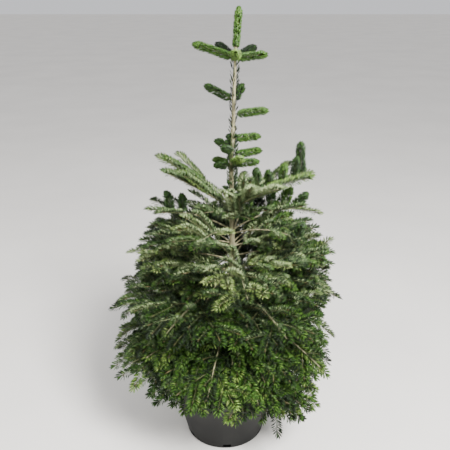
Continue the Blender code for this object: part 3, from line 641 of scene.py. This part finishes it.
def make_twigs(name, shoots, materials):
    """Thin round twigs with a bud at each tip, joined into one mesh."""
    turn = np.arange(TWIG_SIDES) * 2.0 * math.pi / TWIG_SIDES
    circle = np.stack([np.cos(turn), np.sin(turn)], 1)
    shares = np.array([0.0, 0.3, 0.6, 0.86, 0.93, 1.0])
    corners = np.empty((len(shoots), len(shares) * TWIG_SIDES, 3))
    for number, shoot in enumerate(shoots):
        places, _, side, up = along(shoot, shares)
        radii = shoot.thick * (1.0 - 0.55 * shares)
        radii[-2:] = (0.0016, 0.0003)
        rings = (side[:, None, :] * circle[None, :, 0:1] + up[:, None, :] * circle[None, :, 1:2])
        rings = places[:, None, :] + rings * radii[:, None, None]
        corners[number] = rings.reshape(-1, 3)
    faces = []
    for ring in range(len(shares) - 1):
        for step in range(TWIG_SIDES):
            here, there = ring * TWIG_SIDES + step, ring * TWIG_SIDES + (step + 1) % TWIG_SIDES
            faces.append((here, there, there + TWIG_SIDES, here + TWIG_SIDES))
    faces.append(tuple(reversed(range(TWIG_SIDES))))
    last = (len(shares) - 1) * TWIG_SIDES
    faces.append(tuple(last + step for step in range(TWIG_SIDES)))
    slot = [1 if number >= 3 * TWIG_SIDES and number < len(faces) - 2 or number == len(faces) - 1 else 0
            for number in range(len(faces))]
    slots = np.tile(np.array(slot), (len(shoots), 1))
    item = mesh_from_arrays(name, corners, faces, slots, materials)
    item.data.shade_smooth()
    return item


def limb_mesh(name, limbs, sides, relief, grain, material):
    """Limbs built ring by ring from circles, their skin lifted into bark ridges by noise."""
    shape = bmesh.new()
    for stations in limbs:
        ring = bmesh.ops.create_circle(shape, segments=sides, radius=1.0, cap_ends=True)["verts"]
        edges = list({edge for corner in ring for edge in corner.link_edges})
        rings = [list(ring)]
        for _ in stations[1:]:
            grown = bmesh.ops.extrude_edge_only(shape, edges=edges)["geom"]
            edges = [part for part in grown if isinstance(part, bmesh.types.BMEdge)
                     and len(part.link_faces) == 1]
            rings.append([part for part in grown if isinstance(part, bmesh.types.BMVert)])
        bmesh.ops.contextual_create(shape, geom=edges)
        for corners, (place, ahead, radius) in zip(rings, stations):
            turn = Vector((0.0, 0.0, 1.0)).rotation_difference(ahead).to_matrix()
            for corner in corners:
                skin = turn @ Vector((corner.co.x, corner.co.y, 0.0))
                spot = place + skin * radius
                along_grain = spot - ahead * (spot.dot(ahead) * (1.0 - GRAIN_STRETCH))
                rough = noise.fractal(along_grain * grain, 1.0, 2.0, 3)
                corner.co = spot + skin * (relief * radius * rough)
    bmesh.ops.recalc_face_normals(shape, faces=shape.faces)
    mesh = bpy.data.meshes.new(name)
    shape.to_mesh(mesh)
    shape.free()
    mesh.materials.append(material)
    mesh.shade_smooth()
    item = bpy.data.objects.new(name, mesh)
    bpy.context.scene.collection.objects.link(item)
    return item


def make_trunk(material):
    top = TRUNK_LEAN[-1][0]
    stations = []
    for step in range(TRUNK_RINGS + 1):
        height = FOOT + (top - FOOT) * step / TRUNK_RINGS
        knot = sum(math.exp(-((height - shape["height"]) / KNOT_HALF_LENGTH) ** 2)
                   for shape in WHORLS.values())
        radius = trunk_radius(height) * (1.0 + TRUNK_KNOT * knot)
        stations.append((trunk_point(height), Vector((0.0, 0.0, 1.0)), radius))
    return limb_mesh("trunk_bark", [stations], 28, 0.07, 260.0, material)


def bough_stations(main, levels):
    """Rings of one bough: a swollen root, a knot at each pair of laterals and a bud at its end."""
    knots = [LATERALS[level][0] for level in levels]
    found = []
    for step in range(BOUGH_RINGS + 1):
        share = step / BOUGH_RINGS
        swell = BOUGH_ROOT_SWELL * math.exp(-share * main.length() / KNOT_HALF_LENGTH)
        swell += sum(BOUGH_KNOT * math.exp(-((share - knot) * main.length() / KNOT_HALF_LENGTH) ** 2)
                     for knot in knots)
        radius = BOUGH_TIP_RADIUS + (main.thick - BOUGH_TIP_RADIUS) * (1.0 - share)
        found.append((main.point(share), main.forward(share), radius * (1.0 + swell)))
    end, ahead = main.point(1.0), main.forward(1.0)
    return found + [(end + ahead * reach, ahead, radius) for reach, radius in BUD_RINGS]


def turned_piece(name, profile, steps, material):
    """A profile of (radius, height) points spun round Z into a closed smooth piece."""
    shape = bmesh.new()
    corners = [shape.verts.new((radius, 0.0, height)) for radius, height in profile]
    edges = [shape.edges.new(pair) for pair in zip(corners, corners[1:])]
    bmesh.ops.spin(shape, geom=corners + edges, cent=(0, 0, 0), axis=(0, 0, 1), dvec=(0, 0, 0),
                   angle=2.0 * math.pi, steps=steps, use_merge=True, use_duplicate=False)
    bmesh.ops.remove_doubles(shape, verts=shape.verts, dist=0.00001)
    bmesh.ops.recalc_face_normals(shape, faces=shape.faces)
    mesh = bpy.data.meshes.new(name)
    shape.to_mesh(mesh)
    shape.free()
    mesh.materials.append(material)
    item = bpy.data.objects.new(name, mesh)
    bpy.context.scene.collection.objects.link(item)
    return item


# Pot, as in the frame
POT_HEIGHT = 0.256
POT_BASE_RADIUS = 0.130
POT_EDGE = 0.010
POT_TAPER = 0.235
POT_WALL = 0.0022
POT_FLOOR = 0.004
RIM_HEIGHT = 0.012
RIM_OVERHANG = 0.006
SLOT_COUNT = 6
SLOT_TURN = 3.0
SLOT_WIDTH = 0.026
SLOT_LIP = 0.007
SLOT_HEIGHT = 0.012
SLOT_DEPTH = 0.060
SOIL_TOP = 0.236
# The soil stands back from the slots at the foot of the wall
HOLLOW_HEIGHT = 0.036
HOLLOW_DEPTH = 0.055


def pot_radius(height):
    return POT_BASE_RADIUS + POT_TAPER * (height - POT_EDGE)


def make_pot(material):
    rim_low = POT_HEIGHT - RIM_HEIGHT
    edge = [(POT_BASE_RADIUS - POT_EDGE + POT_EDGE * math.cos(math.radians(turn)),
             POT_EDGE - POT_EDGE * math.sin(math.radians(turn))) for turn in range(0, 91, 15)]
    wall = [(pot_radius(h) + (0.0009 if h > 0.20 else 0.0), h) for h in (rim_low, 0.201, 0.199, 0.10)]
    bead = [(pot_radius(POT_HEIGHT) + RIM_OVERHANG * share, POT_HEIGHT - drop)
            for share, drop in ((0.1, 0.0), (0.6, 0.0003), (0.9, 0.0012), (1.0, 0.003))]
    inner = pot_radius(POT_EDGE) - POT_WALL
    profile = [(0.0, POT_FLOOR), (inner - POT_EDGE, POT_FLOOR), (inner, POT_EDGE + POT_FLOOR),
               (pot_radius(POT_HEIGHT) - POT_WALL, POT_HEIGHT - 0.001)] + bead
    profile += [(pot_radius(rim_low) + RIM_OVERHANG, rim_low)] + wall + edge + [(0.0, 0.0)]
    pot = turned_piece("pot_shell", profile, 128, material)
    cutter_shape = bmesh.new()
    for number in range(SLOT_COUNT):
        azimuth = -90.0 + SLOT_TURN + number * 360.0 / SLOT_COUNT
        place = Matrix.Translation(heading(azimuth) * (POT_BASE_RADIUS + 0.015 - 0.5 * SLOT_DEPTH)
                                   + Vector((0.0, 0.0, SLOT_LIP + 0.5 * SLOT_HEIGHT)))
        place = place @ Matrix.Rotation(math.radians(azimuth), 4, "Z")
        place = place @ Matrix.Diagonal((SLOT_DEPTH, SLOT_WIDTH, SLOT_HEIGHT, 1.0))
        bmesh.ops.create_cube(cutter_shape, size=1.0, matrix=place)
    mesh = bpy.data.meshes.new("slots")
    cutter_shape.to_mesh(mesh)
    cutter_shape.free()
    cutter = bpy.data.objects.new("slots", mesh)
    bpy.context.scene.collection.objects.link(cutter)
    cut = pot.modifiers.new("Slots", "BOOLEAN")
    cut.operation = "DIFFERENCE"
    cut.object = cutter
    bpy.context.view_layer.update()
    view = bpy.context.evaluated_depsgraph_get()
    pot.data = bpy.data.meshes.new_from_object(pot.evaluated_get(view))
    pot.modifiers.clear()
    bpy.data.objects.remove(cutter, do_unlink=True)
    pot.data.shade_smooth()
    pot.data.set_sharp_from_angle(angle=math.radians(32.0))
    return pot


def make_soil(material):
    """Substrate with a crumbly top, closed below like the frame's own solid."""
    rim = pot_radius(SOIL_TOP - 0.007) - POT_WALL - 0.0006
    rows = [rim * share for share in np.linspace(0.0, 1.0, 40)]
    profile = [(radius, SOIL_TOP - 0.007 * max(0.0, radius - 0.045) / (rim - 0.045)) for radius in rows]
    hollow = pot_radius(HOLLOW_HEIGHT) - POT_WALL - 0.0006
    profile += [(hollow, HOLLOW_HEIGHT), (hollow - HOLLOW_DEPTH, POT_FLOOR + 0.0003),
                (0.0, POT_FLOOR + 0.0003)]
    soil = turned_piece("soil_bed", profile, 160, material)
    for corner in soil.data.vertices:
        if corner.co.z > SOIL_TOP - 0.010:
            out = math.hypot(corner.co.x, corner.co.y)
            fade = min(1.0, max(0.0, (out - 0.03) / 0.02)) * min(1.0, max(0.0, (rim - out) / 0.01))
            corner.co.z += fade * 0.004 * noise.fractal(corner.co * 90.0, 1.0, 2.0, 4)
    soil.data.shade_smooth()
    return soil


def stage():
    bpy.ops.mesh.primitive_plane_add(size=60.0, location=(0.0, 0.0, 0.0))
    floor = bpy.context.object
    floor.name = "floor"
    floor.data.materials.append(finish("floor_pale", FLOOR_PALE, shaded(FLOOR_PALE, 0.97), 0.8, 1.5))
    world = bpy.data.worlds.new("studio")
    world.use_nodes = True
    world.node_tree.nodes["Background"].inputs["Color"].default_value = (0.95, 0.96, 1.0, 1.0)
    world.node_tree.nodes["Background"].inputs["Strength"].default_value = 0.82
    bpy.context.scene.world = world
    for name, place, size, power in (("key", (1.2, -2.2, 3.0), 1.1, 420.0),
                                     ("fill", (-2.2, -1.6, 2.4), 2.0, 40.0)):
        lamp = bpy.data.lights.new(name, "AREA")
        lamp.energy = power
        lamp.size = size
        item = bpy.data.objects.new(name, lamp)
        item.location = place
        aim = Vector((0.0, 0.0, 0.6)) - Vector(place)
        item.rotation_euler = aim.to_track_quat("-Z", "Y").to_euler()
        bpy.context.scene.collection.objects.link(item)
    camera = bpy.data.cameras.new("eye")
    camera.lens = LENS
    camera.sensor_width = 36.0
    eye = bpy.data.objects.new("eye", camera)
    eye.location = EYE
    eye.rotation_euler = (math.radians(90.0 - LOOK_DOWN), 0.0, 0.0)
    bpy.context.scene.collection.objects.link(eye)
    bpy.context.scene.camera = eye


def place_piece(item, slot, *nodes):
    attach(item, "root")
    if nodes:
        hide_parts(*nodes)


def main():
    stage()
    needle_materials = needle_finishes()
    twig_materials = [finish("twig_skin", TWIG_TAN, shaded(TWIG_TAN, 0.72), 0.8, 400.0, bump=0.3),
                      finish("bud_scales", BUD_BROWN, shaded(BUD_BROWN, 0.7), 0.6, 500.0, bump=0.4)]
    bark = finish("bark", BARK_PALE, BARK_DARK, 0.88, 120.0, 8.0, 0.8, 0.0015, (1.0, 1.0, 0.3))
    place_piece(make_trunk(bark), "bark", "trunk")
    place_piece(make_pot(finish("pot_plastic", POT_GREY, POT_WORN, 0.5, 9.0, 6.0, 0.06, shine=POT_SHINE)),
                "pot_plastic", "pot")
    place_piece(make_soil(finish("substrate", SOIL_DARK, SOIL_PALE, 0.95, 160.0, 8.0, 0.9, 0.003)),
                "soil", "soil")

    leader_foot = trunk_point(LEADER_FOOT)
    leader_run = Vector(LEADER_TIP) - leader_foot - Vector((0.0, 0.0, LEADER_NEEDLE_REACH))
    crown = [Shoot(leader_foot, leader_run, Vector(), Vector((0.0, -1.0, 0.0)), 0.04, "spire",
                   2, 0.0036)]
    crown += [short_shoot(TOP_WHORL_HEIGHT, *shoot, tint) for shoot, tint in zip(TOP_SHOOTS, TOP_SHOOT_TINTS)]
    crown += [short_shoot(*shoot, tint) for shoot, tint in zip(STEM_SHOOTS, STEM_SHOOT_TINTS)]
    crown += [short_shoot(*shoot, tint) for shoot, tint in zip(CROWD_SHOOTS, CROWD_SHOOT_TINTS)]
    stem = [stem_needles(*stretch) for stretch in STEM_NEEDLES]
    nodes = ["leader", "crowded_shoots"] + [f"top_shoot_{number + 1}" for number in range(len(TOP_SHOOTS))]
    nodes += [f"stem_shoot_{number + 1}" for number in range(len(STEM_SHOOTS))]
    place_piece(make_needles("needles_1", crown + stem, needle_materials), "young_needles",
                *nodes)
    place_piece(make_twigs("twigs_1", crown, twig_materials), "bark")
    for whorl, shape in WHORLS.items():
        boughs = [grow_bough(shape, whorl, whorl, index, BOUGH_RADIUS)
                  for index in range(len(shape["boughs"]))]
        masses = [f"foliage_{whorl}{LETTERS[index]}" for index in range(len(boughs))]
        slot = "young_needles" if whorl == 2 else "needles"
        halves = 2 if whorl in SIDE_SHOOT_WHORLS else 1
        half = math.ceil(len(boughs) / halves)
        for number in range(halves):
            shoots = sum(boughs[number * half:(number + 1) * half], [])
            place_piece(make_needles(f"needles_{whorl}_{number + 1}", shoots, needle_materials), slot,
                        *masses[number * half:(number + 1) * half])
        limbs = [f"bough_{whorl}{LETTERS[index]}" for index in range(len(boughs))]
        stations = [bough_stations(shoots[0], shape["levels"]) for shoots in boughs]
        place_piece(limb_mesh(f"boughs_{whorl}", stations, BOUGH_SIDES, BOUGH_RELIEF, BOUGH_GRAIN, bark),
                    "bark", *(limbs if whorl in LIMB_WHORLS else ()))
        place_piece(make_twigs(f"twigs_{whorl}", sum((shoots[1:] for shoots in boughs), []),
                               twig_materials), "bark")
    limbs, twigs = [], []
    for name, shape in BETWEEN_WHORLS.items():
        whorl = int(name[0]) + 1
        boughs = [grow_bough(shape, whorl, name, index, BETWEEN_RADIUS)
                  for index in range(len(shape["boughs"]))]
        place_piece(make_needles(f"needles_below_{name[0]}", sum(boughs, []), needle_materials), "needles")
        limbs += [bough_stations(shoots[0], shape["levels"]) for shoots in boughs]
        twigs += sum((shoots[1:] for shoots in boughs), [])
    place_piece(limb_mesh("boughs_between", limbs, BOUGH_SIDES, BOUGH_RELIEF, BOUGH_GRAIN, bark), "bark")
    place_piece(make_twigs("twigs_between", twigs, twig_materials), "bark")


main()
